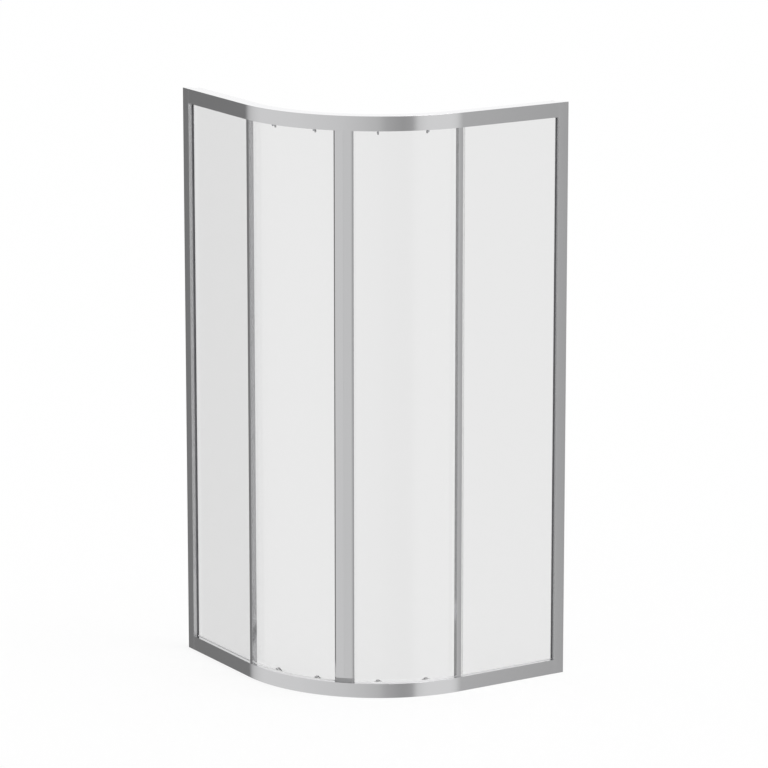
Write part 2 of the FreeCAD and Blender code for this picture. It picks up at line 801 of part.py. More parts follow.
def make_edge_seal(side):
    """Clip on the door's rear edge with a fin that reaches for the flat glass."""
    outline = [
        ("door_recess - gasket", "-gasket_grip / 2"),
        ("door_recess - 0.1", "-gasket_grip / 2"),
        ("door_recess - 0.1", "0.1"),
        (f"{GLASS_BACK} + 0.1", "0.1"),
        (f"{GLASS_BACK} + 0.1", "-gasket_grip / 2"),
        (f"{GLASS_BACK} + gasket", "-gasket_grip / 2"),
        (f"{GLASS_BACK} + gasket", "gasket"),
        ("door_recess - gasket", "gasket"),
        (f"{PANE_BACK} + 0.5", "gasket * 3"),
        (f"{PANE_BACK} + 0.5", "gasket * 2.2"),
        ("door_recess - gasket", "-gasket / 2"),
    ]
    return upright(f"{side}_edge_seal", side, GLASS_START, [outline],
                   "rail_height + closer_foot_gap", from_top("rail_height + closer_foot_gap"))


# ---- rollers ----

def make_carrier(side, name, turn):
    """Plate behind the glass with a top wheel's stub axle; its tail shows below the rail."""
    shoulder = "(rail_height - rail_wall)"
    tail_end = "(rail_height + tail_drop)"
    crown = f"({AXLE_LEVEL} - carrier_crown)"
    outline = [
        ("-carrier_half", from_top(crown)),
        ("carrier_half", from_top(crown)),
        ("carrier_half", from_top(shoulder)),
        ("tail_half", from_top(shoulder)),
        ("tail_half", from_top(tail_end)),
        ("-tail_half", from_top(tail_end)),
        ("-tail_half", from_top(shoulder)),
        ("-carrier_half", from_top(shoulder)),
    ]
    carrier = plate(f"{side}_{name}_carrier", side, turn, CARRIER, [outline], "carrier_thick")
    pad = draw(carrier, "YZ_Plane", [box_loop("-tail_half", "tail_half", from_top(tail_end),
                                              from_top(f"{TAIL_LEVEL} - tail_half"))])
    extrude(carrier, pad, f"{CARRIER} - {SEAT}", backwards=True)
    middle = number(f"({CARRIER_BACK} - {SEAT}) / 2 - ({CARRIER} - {SEAT})")
    corners = [FreeCAD.Vector(middle, sign * number("tail_half"), number(from_top(tail_end)))
               for sign in (-1, 1)]
    soften(carrier, carrier.Tip, corners, "tail_half - 0.1")
    add_stud(carrier, from_top(TAIL_LEVEL), CARRIER)
    add_stub(carrier, from_top(AXLE_LEVEL))
    return carrier


def add_stud(body, level, face):
    """Square-necked stud that reaches through the glass to its nut."""
    neck = draw(body, "YZ_Plane", [box_loop("-stud_half", "stud_half", f"({level}) - stud_half",
                                            f"({level}) + stud_half")])
    extrude(body, neck, f"({face}) - door_recess", backwards=True)


def add_stub(body, level):
    """Stub axle of a wheel, pointing out of the enclosure from the carrier's front face."""
    stub = draw_circles(body, "YZ_Plane", [("0", level, "axle_radius")])
    extrude(body, stub, f"{CARRIER} - {WHEEL_LINE} + wheel_width / 2 + axle_end", backwards=True)


def make_wheel(side, turn, level, label):
    """Nylon wheel that turns on its stub axle."""
    return ring(label, side, turn, f"{WHEEL_LINE} - wheel_width / 2", level,
                ["wheel_radius", "axle_radius + axle_fit"], "wheel_width")


def make_housing(side, name, turn):
    """Domed housing on the back of the glass, with an open slot that guides the release block."""
    top = f"({HOUSING_LEVEL} + housing_half)"
    low = f"({DOOR_EDGE} + housing_clear)"
    slot_top = f"({top} - housing_half / 2)"
    housing = plate(f"{side}_{name}_housing", side, turn, SEAT,
                    [box_loop("-housing_half", "housing_half", low, top)], "housing_depth")
    middle = number("housing_depth / 2")
    corners = [FreeCAD.Vector(middle, sign * number("housing_half"), number(top)) for sign in (-1, 1)]
    soften(housing, housing.Tip, corners, "housing_half - 0.1")
    slot = draw(housing, "YZ_Plane",
                [box_loop("-(release_half + release_fit)", "release_half + release_fit",
                          f"{low} - 1", slot_top)],
                offset=f"{CARRIER} - {SEAT} - release_fit")
    extrude(housing, slot, "housing_depth", backwards=True, kind="Pocket")
    add_stud(housing, HOUSING_LEVEL, SEAT)
    return housing


def make_release(side, name, turn):
    """Sprung release block with its stub axle and thumb ledge; pressing it drops the wheel."""
    top = f"({HOUSING_LEVEL} + housing_half / 2 - release_travel - 1)"
    knee = f"({DOOR_EDGE} + housing_clear * 2)"
    low = f"({AXLE_LEVEL} - release_foot)"
    block = plate(f"{side}_{name}_release", side, turn, CARRIER,
                  [box_loop("-release_half", "release_half", low, top)], "carrier_thick")
    upper = draw(block, "YZ_Plane", [box_loop("-release_half", "release_half", knee, top)])
    extrude(block, upper, f"{SEAT} + housing_depth - {CARRIER}")
    ledge = draw(block, "YZ_Plane", [box_loop("-release_half", "release_half", f"{top} - 4", top)])
    extrude(block, ledge, f"{SEAT} + housing_depth + thumb_reach - {CARRIER}")
    add_stub(block, AXLE_LEVEL)
    return block


for side in SIDES:
    nodes[f"{side}_door_glass"] = make_door_glass(side)
    nodes[f"{side}_closing_profile"] = make_closer(side)
    nodes[f"{side}_closing_end_caps"] = make_end_caps(side)
    nodes[f"{side}_magnetic_strip"] = make_magnet(side)
    nodes[f"{side}_closing_gasket"] = make_closer_gasket(side)
    nodes[f"{side}_edge_seal"] = make_edge_seal(side)
    nodes[f"{side}_top_carriers"] = group(f"{side}_top_carriers", [
        make_carrier(side, name, turn) for name, turn in PIVOTS.items()])
    nodes[f"{side}_bottom_housings"] = group(f"{side}_bottom_housings", [
        make_housing(side, name, turn) for name, turn in PIVOTS.items()])
    nodes[f"{side}_glass_nuts"] = group(f"{side}_glass_nuts", [
        plate(f"{side}_{end}_{name}_nut", side, turn, NUT_FRONT, [hexagon("0", level, "nut_radius")],
              "nut_thick")
        for name, turn in PIVOTS.items()
        for end, level in (("top", from_top(TAIL_LEVEL)), ("bottom", HOUSING_LEVEL))])
    for name, turn in PIVOTS.items():
        nodes[f"{side}_{name}_release_block"] = make_release(side, name, turn)
        for end, level in (("top", from_top(AXLE_LEVEL)), ("bottom", AXLE_LEVEL)):
            label = f"{side}_{name}_{end}_wheel"
            nodes[label] = make_wheel(side, turn, level, label)


# ---- check every object and write the pieces ----

doc.recompute()
faults = [item.Name for item in doc.Objects if {"Invalid", "Error"} & set(item.State)]
if faults:
    raise RuntimeError("failed objects: " + ", ".join(faults))
for name, item in nodes.items():
    if item.Shape.isNull() or not item.Shape.isValid() or not item.Shape.Solids:
        raise RuntimeError("bad shape: " + name)

os.makedirs("parts", exist_ok=True)
for name, item in nodes.items():
    item.Shape.exportStep(os.path.join("parts", name + ".step"))
print(len(nodes), "nodes,", sum(len(item.Shape.Solids) for item in nodes.values()), "solids")
print("rails", nodes["top_rail"].Shape.BoundBox)
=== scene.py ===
"""Quadrant shower enclosure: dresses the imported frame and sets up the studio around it.

Outlines are in millimetres and use three measures of the bent frame: depth behind the rails'
outer face, back towards the piece's own wall, and level above the tray.
"""

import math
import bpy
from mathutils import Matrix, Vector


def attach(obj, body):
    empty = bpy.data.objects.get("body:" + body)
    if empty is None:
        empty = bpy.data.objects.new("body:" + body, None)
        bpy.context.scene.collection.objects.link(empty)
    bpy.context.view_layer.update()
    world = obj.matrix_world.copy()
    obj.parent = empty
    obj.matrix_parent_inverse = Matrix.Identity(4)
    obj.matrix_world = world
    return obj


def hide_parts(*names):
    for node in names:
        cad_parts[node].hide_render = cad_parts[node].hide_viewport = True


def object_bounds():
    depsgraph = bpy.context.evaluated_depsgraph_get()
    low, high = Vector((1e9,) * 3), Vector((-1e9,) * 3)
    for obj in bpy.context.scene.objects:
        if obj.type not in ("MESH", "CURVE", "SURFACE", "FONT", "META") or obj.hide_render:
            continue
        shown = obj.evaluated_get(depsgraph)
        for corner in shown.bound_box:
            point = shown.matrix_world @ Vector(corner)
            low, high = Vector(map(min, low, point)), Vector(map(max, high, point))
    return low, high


bl_info = {
    "name": "Quadrant Shower Enclosure",
    "version": (1, 0, 0),
    "blender": (4, 5, 0),
    "location": "3D View > Sidebar > Shower",
    "description": "Dresses a framed corner shower with bent sliding doors and sets up its studio",
    "category": "Object",
}

from types import SimpleNamespace

import bmesh
import bpy
from bpy.props import FloatProperty, FloatVectorProperty, IntProperty, PointerProperty
from mathutils import Vector

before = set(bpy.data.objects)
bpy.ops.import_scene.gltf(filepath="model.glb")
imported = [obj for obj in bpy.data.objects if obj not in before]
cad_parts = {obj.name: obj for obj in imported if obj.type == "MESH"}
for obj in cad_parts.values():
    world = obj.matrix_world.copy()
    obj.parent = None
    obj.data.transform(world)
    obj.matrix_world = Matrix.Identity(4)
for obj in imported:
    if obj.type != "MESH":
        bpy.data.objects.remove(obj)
CAD_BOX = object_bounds()
SIDES = ("left", "right")

# Measures that stay the same when the enclosure's sizes change, in millimetres.
WALL = 2                # walls of the rails and posts
THIN_WALL = 1.5         # walls beside the glazing groove
GROOVE_FLOOR = 24       # level of the groove's floor in the bottom rail
GROOVE_HANG = 32        # reach of the groove's walls below the top
LIP = 26                # level of the lip along which the wheels run, and its distance below the top
RIM = 37.2              # depth of the lip's turned edge
WATER_BAR = 8           # level of the bottom rail's inner edge
PANE_PLAY = 1           # room for a gasket beside a pane
POST_GRIP = 12          # depth of the posts' glazing groove
POST_GASKET = 3.2       # thickness of the posts' front gasket
POST_CAP = 1.5          # thickness of the posts' caps
STILE_RECESS = 7        # depth of the stiles' faces
STILE_PAST = 12         # how far the stiles reach past the start of the bend
STILE_BEFORE = 4        # how far they reach towards the wall
STILE_FLOOR = -6        # back of their groove's floor, counted like STILE_BEFORE
CLOSER_RECESS = 4       # depth of the closers' faces
CLOSER_GRIP = 12        # depth of the closers' glazing groove
CLOSER_FOOT = 61        # level at which the closers' foot caps end
CLOSER_HEAD = 38        # distance from the top at which their head caps start
REAR_PLAY = 1.3         # room for the closing gasket behind the bent glass
REAR_LIP = 6            # how much shorter the closers' rear lip is than their face
SIDE_TAPER = 4          # how far the closers' sides lean in towards the glass
AXLE = 16.7             # level of the bottom wheels' axles, and the top ones' distance below the top
CARRIER = 42            # depth of the carriers' and release blocks' plates
PLATE = 3               # thickness of those plates
HOUSING = 40            # level of the studs that hold the bottom housings
NUT_THICK = 1.8         # height of the glass nuts

PIVOTS = {"front": 45 - 12.7, "rear": 45 - 32.3}    # turns at which a door's wheels stand


# ---- sizes, finishes, studio

def length(name, description, default):
    """Length that a user can change."""
    return FloatProperty(name=name, description=description, default=default, unit="LENGTH")


def shade(name, description, default):
    """Colour that a user can change."""
    return FloatVectorProperty(
        name=name, description=description, default=default, subtype="COLOR", min=0, max=1)


class EnclosureSizes(bpy.types.PropertyGroup):
    """Sizes of the enclosure's visible pieces"""
    width: length("Width", "Length of each side along its wall", round(CAD_BOX[1].x - CAD_BOX[0].x, 4))
    height: length("Height", "From the tray to the top of the rail", round(CAD_BOX[1].z, 4))
    bend_radius: length("Bend radius", "Outer radius of the rails' quarter bend", 0.49)
    rail_height: length("Rail height", "Height of the rails' outer face", 0.0463)
    rail_depth: length("Rail depth", "Depth of the rails", 0.046)
    post_width: length("Post width", "Width of a wall post", 0.035)
    post_depth: length("Post depth", "Depth of a wall post", 0.024)
    glass: length("Glass", "Thickness of the panes", 0.006)
    pane_recess: length("Pane recess", "Depth of the flat panes' outer face", 0.015)
    door_recess: length("Door recess", "Depth of the bent panes' outer face", 0.03)
    door_overlap: length("Door overlap", "How far a closed door reaches behind its flat pane", 0.015)
    closer_width: length("Closer width", "Width of a door's closing profile", 0.032)
    wheel_radius: length("Wheel radius", "Radius of the roller wheels", 0.009)
    edge_round: length("Edge rounding", "Rounding of the extrusions' edges", 0.0004)
    bend_steps: IntProperty(
        name="Bend steps", description="Segments of the quarter bend", default=72, min=12)


class EnclosureFinish(bpy.types.PropertyGroup):
    """Colours of the enclosure's finishes"""
    metal: shade("Aluminium", "Satin silver of the extrusions", (0.80, 0.80, 0.81))
    metal_roughness: FloatProperty(
        name="Aluminium roughness", description="How satin the extrusions are",
        default=0.11, min=0, max=1)
    flat_glass: shade("Flat glass", "Tint of the flat panes' clear glass", (0.85, 0.85, 0.85))
    bent_glass: shade("Bent glass", "Tint of the bent doors' clear glass", (0.835, 0.835, 0.835))
    rubber: shade("Rubber", "Glazing gaskets", (0.12, 0.12, 0.125))
    cap: shade("Caps", "Moulded foot and head caps, and the housings' hoods", (0.31, 0.31, 0.315))
    carrier: shade("Carriers", "Moulded roller carriers", (0.62, 0.62, 0.625))
    nylon: shade("Nylon", "Roller wheels", (0.86, 0.86, 0.83))
    steel: shade("Steel", "Nuts and screws", (0.62, 0.63, 0.65))


class StudioSettings(bpy.types.PropertyGroup):
    """The camera and the light"""
    azimuth: FloatProperty(
        name="Azimuth", description="Bearing of the camera from the front", default=math.radians(-32.048),
        subtype="ANGLE")
    elevation: FloatProperty(
        name="Elevation", description="Height of the camera above the horizon",
        default=math.radians(13.076), subtype="ANGLE")
    distance: FloatProperty(
        name="Distance", description="From the camera to its target", default=13.5156, unit="LENGTH")
    target: FloatVectorProperty(
        name="Target", description="Where the camera looks", default=(0.03793, 0.0, 0.91134),
        subtype="TRANSLATION")
    lens: FloatProperty(
        name="Lens", description="Focal length in millimetres", default=198.2, min=10)
    sky: FloatProperty(
        name="Sky", description="Even light on matt surfaces", default=0.72, min=0)
    sun: FloatProperty(
        name="Sun", description="Strength of the soft lamp", default=1.1, min=0)


def millimetres():
    """The enclosure's sizes in millimetres, with the places that follow from them."""
    group = bpy.context.scene.enclosure_sizes
    size = SimpleNamespace(**{
        key: getattr(group, key) * 1000 for key, kind in EnclosureSizes.__annotations__.items()
        if kind.function is FloatProperty})
    size.bend_steps = group.bend_steps
    size.wall_line = size.width - size.bend_radius
    size.post_line = size.wall_line - size.post_width
    size.pane_back = size.pane_recess + size.glass
    size.groove_front = size.pane_recess - PANE_PLAY
    size.groove_back = size.pane_back + PANE_PLAY
    size.rib_back = size.groove_back + THIN_WALL
    size.door_back = size.door_recess + size.glass
    size.wheel_line = size.door_recess + 1
    size.seat = size.door_back + 0.3
    size.stud_drop = size.rail_height + 8.1
    return size


# ---- places and outlines

def inward(side, turn):
    """Direction that looks straight into the enclosure at this turn."""
    facing = math.radians(turn if side == "left" else 90 - turn)
    return Vector((math.cos(facing), math.sin(facing), 0))


def bent_place(side, turn, size):
    """Function from depth, back and level at this turn along the bend to a place in metres."""
    inner = inward(side, turn)
    wallward = Vector((-inner.y, inner.x, 0)) * (1 if side == "left" else -1)
    middle = size.bend_radius - size.width / 2
    centre = Vector((middle, middle, 0))

    def place(depth, back, level):
        return (centre - inner * (size.bend_radius - depth) + wallward * back
                + Vector((0, 0, level))) / 1000

    return place


def turn_of(arc, radius):
    """Turn in degrees that a length along an arc takes."""
    return math.degrees(arc / radius)


def rounded(outline, radius, steps=4, corners=None):
    """Closed outline with its corners, or only the named ones, rounded."""
    result = []
    count = len(outline)
    for index, corner in enumerate(outline):
        here = Vector(corner)
        before, after = Vector(outline[index - 1]) - here, Vector(outline[(index + 1) % count]) - here
        cut = min(radius, before.length * 0.45, after.length * 0.45)
        if corners is not None and index not in corners:
            result.append(tuple(here))
            continue
        start, end = here + before.normalized() * cut, here + after.normalized() * cut
        for step in range(steps + 1):
            share = step / steps
            point = start * (1 - share) ** 2 + here * 2 * share * (1 - share) + end * share ** 2
            result.append(tuple(point))
    return result


def box_outline(low_a, high_a, low_b, high_b):
    """Rectangle as an outline."""
    return [(low_a, low_b), (high_a, low_b), (high_a, high_b), (low_a, high_b)]


def both_ends(half):
    """Profile of a turned piece with two equal ends, from one end's distances and radii."""
    return [(-along, radius) for along, radius in half] + half[::-1]


# ---- mesh building

def corner_turns(ring):
    """How sharply a closed ring turns at each of its points, in degrees."""
    turns = []
    for index, point in enumerate(ring):
        before = point - ring[index - 1]
        after = ring[(index + 1) % len(ring)] - point
        short = before.length < 1e-9 or after.length < 1e-9
        turns.append(0.0 if short else math.degrees(before.angle(after)))
    return turns


def loft(rings, soft_ends=False, closed=False):
    """Mesh through rings of matching points, with UVs drawn along it and bevel weights at its corners."""
    bm = bmesh.new()
    uv = bm.loops.layers.uv.new("drawn")
    weight = bm.edges.layers.float.new("bevel_weight_edge")
    rows = [[bm.verts.new(point) for point in ring] for ring in rings]
    count = len(rings[0])
    around = [0.0]
    for index in range(count):
        around.append(around[-1] + (rings[0][(index + 1) % count] - rings[0][index]).length)
    along = [0.0]
    for before, after in zip(rings, rings[1:] + rings[:1]):
        along.append(along[-1] + (after[0] - before[0]).length)
    sharp = [turn > 25 for turn in corner_turns(rings[0])]
    last = len(rows) if closed else len(rows) - 1
    for step in range(last):
        here, there = rows[step], rows[(step + 1) % len(rows)]
        for index in range(count):
            beside = (index + 1) % count
            face = bm.faces.new((here[index], here[beside], there[beside], there[index]))
            face.smooth = True
            spots = ((step, index), (step, index + 1), (step + 1, index + 1), (step + 1, index))
            for loop, (row, column) in zip(face.loops, spots):
                loop[uv].uv = (along[row], around[column])
        for index in range(count):
            if sharp[index]:
                bm.edges.get((here[index], there[index]))[weight] = 1.0
    if not closed:
        for row in (rows[0], rows[-1]):
            face = bm.faces.new(row)
            face.smooth = True
            for edge in face.edges:
                edge[weight] = 1.0 if soft_ends else 0.0
                edge.smooth = soft_ends
    bmesh.ops.recalc_face_normals(bm, faces=bm.faces)
    mesh = bpy.data.meshes.new("Outline")
    bm.to_mesh(mesh)
    bm.free()
    return mesh


def turned(side, turn, profile, spot, size, steps=48, facets=()):
    """Turned mesh that looks inward from a spot given as depth, back and level.

    The profile lists distance along the axis and radius, and its faceted points are six-sided.
    """
    centre, axis = bent_place(side, turn, size)(*spot), inward(side, turn)
    upward = Vector((0, 0, 1))
    sideways = axis.cross(upward)
    rings = []
    for step in range(steps):
        angle = 2 * math.pi * step / steps
        spoke = upward * math.cos(angle) + sideways * math.sin(angle)
        fold = math.cos(math.pi / 6) / math.cos((angle % (math.pi / 3)) - math.pi / 6)
        rings.append([
            centre + axis * along / 1000 + spoke * radius * (fold if index in facets else 1) / 1000
            for index, (along, radius) in enumerate(profile)])
    mesh = loft(rings, closed=True)
    weld(mesh)
    return mesh


def weld(mesh):
    """Join the points of a mesh that share one place."""
    bm = bmesh.new()
    bm.from_mesh(mesh)
    bmesh.ops.remove_doubles(bm, verts=bm.verts, dist=1e-7)
    bmesh.ops.recalc_face_normals(bm, faces=bm.faces)
    bm.to_mesh(mesh)
    bm.free()


def joined(meshes):
    """One mesh of several."""
    bm = bmesh.new()
    for mesh in meshes:
        bm.from_mesh(mesh)
        bpy.data.meshes.remove(mesh)
    result = bpy.data.meshes.new("Joined")
    bm.to_mesh(result)
    bm.free()
    return result


def upright(side, turn, outline, low, high, size, soft_ends=False):
    """Vertical length of an outline given as depth and back."""
    place = bent_place(side, turn, size)
    rings = [[place(depth, back, level) for depth, back in outline] for level in (low, high)]
    return loft(rings, soft_ends)


def cut_through(side, turn, back, outline, size):
    """One cut through a length, from an outline given as depth and level."""
    place = bent_place(side, turn, size)
    return [place(depth, back, level) for depth, level in outline]


def along_pane(side, outline, start, end, size, soft_ends=False):
    """Straight length beside a flat pane, of an outline given as depth and level."""
    return loft([cut_through(side, 0, back, outline, size) for back in (start, end)], soft_ends)


def along_bend(side, outline, start, end, steps, size):
    """Bent length, from one turn to another, of an outline given as depth and level."""
    turns = [start + (end - start) * step / steps for step in range(steps + 1)]
    return loft([cut_through(side, turn, 0, outline, size) for turn in turns], True)


def facing_plate(side, turn, outline, front, rear, size, soft_ends=True):
    """Block that faces out of the enclosure, with its outline given as back and level."""
    place = bent_place(side, turn, size)
    rings = [[place(depth, back, level) for back, level in outline] for depth in (front, rear)]
    return loft(rings, soft_ends)


def add_piece(name, mesh, body, nodes, key, edge=0):
    """Show a mesh, with its edges eased by some metres, as a piece that stands for these nodes."""
    mesh.name = name
    mesh.materials.append(finish(key))
    piece = bpy.data.objects.new(name, mesh)
    bpy.context.scene.collection.objects.link(piece)
    if edge:
        bevel = piece.modifiers.new("Edges", "BEVEL")
        bevel.limit_method = "WEIGHT"
        bevel.width = edge
        bevel.segments = 2
    else:
        mesh.set_sharp_from_angle(angle=math.radians(28))
    normals = piece.modifiers.new("Normals", "WEIGHTED_NORMAL")
    normals.keep_sharp = True
    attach(piece, body)
    if nodes:
        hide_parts(*nodes)
    return piece


# ---- materials

def feed(tree, node, sockets):
    """Set a node's input sockets to values, or link them to other nodes' sockets."""
    for key, value in sockets.items():
        if isinstance(value, bpy.types.NodeSocket):
            tree.links.new(value, node.inputs[key])
        else:
            node.inputs[key].default_value = value


def add_node(tree, kind, sockets=None, **settings):
    """Shader node with these settings and input sockets."""
    node = tree.nodes.new(f"ShaderNode{kind}")
    for key, value in settings.items():
        setattr(node, key, value)
    feed(tree, node, sockets or {})
    return node


def new_material(name):
    """Empty material with its tree and surface shader."""
    material = bpy.data.materials.new(name)
    material.use_nodes = True
    return material, material.node_tree, material.node_tree.nodes["Principled BSDF"]


def add_noise(tree, vector, scale, detail=2.0):
    """Noise on a vector socket."""
    noise = add_node(tree, "TexNoise", {"Scale": scale, "Detail": detail, "Vector": vector})
    return noise.outputs["Fac"]


def spread(tree, source, low, high):
    """Noise stretched to a range of values."""
    span = add_node(tree, "MapRange", {
        "From Min": 0.3, "From Max": 0.7, "To Min": low, "To Max": high, "Value": source})
    return span.outputs["Result"]


def tinted(tree, source, colour, depth):
    """Colour that a noise lightens and darkens by a small share."""
    dark = (*[channel * (1 - depth) for channel in colour], 1)
    light = (*[min(1, channel * (1 + depth)) for channel in colour], 1)
    mix = add_node(tree, "Mix", {"A": dark, "B": light, "Factor": source}, data_type="RGBA")
    return mix.outputs["Result"]


def bumped(tree, height, strength, distance):
    """Normals that a height socket bumps."""
    bump = add_node(tree, "Bump", {"Strength": strength, "Distance": distance, "Height": height})
    return bump.outputs["Normal"]


def drawn_metal(name, colour, roughness, lines="UV", scale=(3, 1800, 1)):
    """Satin metal with the faint lines that an extrusion keeps from its die."""
    material, tree, shader = new_material(name)
    place = add_node(tree, "TexCoord").outputs
    stretched = add_node(tree, "Mapping", {"Scale": scale, "Vector": place[lines]})
    streaks = add_noise(tree, stretched.outputs["Vector"], 1.0, 3.0)
    clouds = add_noise(tree, place["Object"], 2.2)
    feed(tree, shader, {
        "Metallic": 1.0,
        "Base Color": tinted(tree, clouds, colour, 0.012),
        "Roughness": spread(tree, streaks, roughness * 0.85, roughness * 1.2),
        "Normal": bumped(tree, streaks, 0.04, 0.00002)})
    return material


def clear_glass(name, tint):
    """Clear toughened glass with a breath of variation in its tint."""
    material, tree, shader = new_material(name)
    clouds = add_noise(tree, add_node(tree, "TexCoord").outputs["Object"], 1.4, 1.0)
    feed(tree, shader, {
        "Transmission Weight": 1.0,
        "Roughness": 0.0,
        "IOR": 1.5,
        "Base Color": tinted(tree, clouds, tint, 0.003)})
    return material


def moulded(name, colour, roughness, grain, through=0.0):
    """Moulded plastic or rubber with a fine sparked grain."""
    material, tree, shader = new_material(name)
    place = add_node(tree, "TexCoord").outputs["Object"]
    pits, clouds = add_noise(tree, place, grain, 3.0), add_noise(tree, place, 40)
    feed(tree, shader, {
        "Transmission Weight": through,
        "Base Color": tinted(tree, clouds, colour, 0.05),
        "Roughness": spread(tree, pits, roughness * 0.9, min(1, roughness * 1.15)),
        "Normal": bumped(tree, pits, 0.15, 0.00005)})
    return material


def nylon(name, colour):
    """Waxy nylon with turning marks."""
    material, tree, shader = new_material(name)
    pits = add_noise(tree, add_node(tree, "TexCoord").outputs["Object"], 900)
    feed(tree, shader, {
        "Roughness": 0.38,
        "Subsurface Weight": 0.25,
        "Subsurface Radius": (0.001, 0.001, 0.001),
        "Base Color": tinted(tree, pits, colour, 0.03),
        "Normal": bumped(tree, pits, 0.1, 0.00004)})
    return material


def finish(key):
    """Material of one finish, made once."""
    known = bpy.data.materials.get(key)
    if known:
        return known
    colours = bpy.context.scene.enclosure_finish
    makers = {
        "satin_aluminium": (drawn_metal, colours.metal, colours.metal_roughness),
        "mill_aluminium": (drawn_metal, colours.metal, 0.3, "Object", (900, 900, 2)),
        "turned_steel": (drawn_metal, colours.steel, 0.22, "Object", (700, 700, 700)),
        "flat_glass": (clear_glass, colours.flat_glass),
        "bent_glass": (clear_glass, colours.bent_glass),
        "gasket_rubber": (moulded, colours.rubber, 0.6, 2500),
        "pale_rubber": (moulded, (0.86, 0.86, 0.86), 0.5, 2000),
        "block_rubber": (moulded, (0.03, 0.03, 0.03), 0.7, 1500),
        "grey_cap": (moulded, colours.cap, 0.45, 2200),
        "grey_carrier": (moulded, colours.carrier, 0.4, 2200),
        "pale_plastic": (moulded, (0.55, 0.55, 0.56), 0.4, 2200),
        "white_shell": (moulded, (0.92, 0.92, 0.92), 0.35, 2200),
        "magnet_strip": (moulded, (0.62, 0.62, 0.63), 0.5, 1800),
        "seal_film": (moulded, (0.93, 0.93, 0.93), 0.06, 600, 0.95),
        "white_nylon": (nylon, colours.nylon),
    }
    maker, *settings = makers[key]
    return maker(key, *settings)


# ---- frame pieces

class SHOWER_OT_rails(bpy.types.Operator):
    """Sweep the bottom and top rails round the bend"""
    bl_idname = "shower.rails"
    bl_label = "Rails"

    def execute(self, context):
        size = millimetres()
        for name, node, outline in (
                ("BottomRail", "bottom_rail", self.bottom_outline(size)),
                ("TopRail", "top_rail", self.top_outline(size))):
            rings = [cut_through("left", 0, size.post_line, outline, size)]
            for step in range(size.bend_steps + 1):
                rings.append(cut_through("left", 90 * step / size.bend_steps, 0, outline, size))
            rings.append(cut_through("right", 0, size.post_line, outline, size))
            add_piece(name, loft(rings), "frame", [node], "satin_aluminium",
                      edge=size.edge_round / 1000)
        return {"FINISHED"}

    @staticmethod
    def shared_outline(inner_edge, size):
        """The part of the outline that both rails have, from the running lip to the outer face."""
        under, turned_down = LIP + WALL, LIP - 2
        return [
            (size.rib_back, under), (RIM + 1, under), (RIM + 1, turned_down), (RIM, turned_down),
            (RIM, LIP), (size.rib_back, LIP), (size.rib_back, WALL), *inner_edge,
            (size.rail_depth, 0), (0, 0)]

    def bottom_outline(self, size):
        """Closed chamber with a ledge, and a groove that takes the flat glass."""
        tall, deep = size.rail_height, size.rail_depth
        front, back = size.groove_front, size.groove_back
        chamber = front - THIN_WALL
        water_bar = [(deep - WALL, WALL), (deep - WALL, WATER_BAR), (deep, WATER_BAR)]
        return self.shared_outline(water_bar, size) + [
            (0, tall), (front, tall), (front, GROOVE_FLOOR), (chamber, GROOVE_FLOOR),
            (chamber, tall - WALL), (WALL, tall - WALL), (WALL, WALL), (back, WALL), (back, tall),
            (size.rib_back, tall)]

    def top_outline(self, size):
        """Open below, so that the closers run behind the outer wall, and drawn from the top down."""
        tall, end = size.rail_height, GROOVE_HANG
        front, back = size.groove_front, size.groove_back
        rib = front - THIN_WALL
        outline = self.shared_outline([(size.rail_depth, WALL)], size) + [
            (0, tall), (WALL, tall), (WALL, WALL), (rib, WALL), (rib, end), (front, end), (front, WALL),
            (back, WALL), (back, end), (size.rib_back, end)]
        return [(depth, size.height - level) for depth, level in outline]


class SHOWER_OT_posts(bpy.types.Operator):
    """Stand the wall posts and cap them"""
    bl_idname = "shower.posts"
    bl_label = "Wall posts"

    def execute(self, context):
        size = millimetres()
        top = size.height - POST_CAP
        for side in SIDES:
            outline = [(depth, size.wall_line - off) for depth, off in self.outline(size)]
            add_piece(f"{side}_WallPost", upright(side, 0, outline, 0, top, size), "frame",
                      [f"{side}_wall_post"], "satin_aluminium", edge=0.0003)
            plate = box_outline(0, size.post_depth, size.post_line, size.wall_line)
            add_piece(f"{side}_PostCap", upright(side, 0, plate, top, size.height, size, True), "frame",
                      ["post_caps"], "satin_aluminium", edge=0.0003)
        return {"FINISHED"}

    @staticmethod
    def outline(size):
        """Depth and distance from the wall, round the hollow post."""
        wide, deep, floor = size.post_width, size.post_depth, size.post_width - POST_GRIP
        front = size.pane_recess - POST_GASKET
        return [
            (0, 0), (0, wide), (front, wide), (front, floor), (deep - WALL, floor),
            (deep - WALL, wide), (deep, wide), (deep, 0), (deep - WALL, 0),
            (deep - WALL, floor - WALL), (front - WALL, floor - WALL), (front - WALL, wide - WALL),
            (WALL, wide - WALL), (WALL, 0)]


class SHOWER_OT_adjusters(bpy.types.Operator):
    """Drive the hexagon screws that hold the posts on their wall channels"""
    bl_idname = "shower.adjusters"
    bl_label = "Adjusting screws"

    def execute(self, context):
        size = millimetres()
        from_wall, from_end = 12, 150
        back = size.wall_line - from_wall
        profile = rounded([(0, 0), (0, 3.95), (1.6, 3.95), (2.15, 3.3), (2.15, 0)], 0.25, 3, (2, 3))
        flats = set(range(1, len(profile) - 1))
        for side in SIDES:
            heads = [
                turned(side, 0, profile, (size.post_depth, back, level), size, facets=flats)
                for level in (from_end, size.height - from_end)]
            add_piece(f"{side}_AdjustingScrews", joined(heads), "frame", ["adjusting_screws"],
                      "turned_steel")
        return {"FINISHED"}


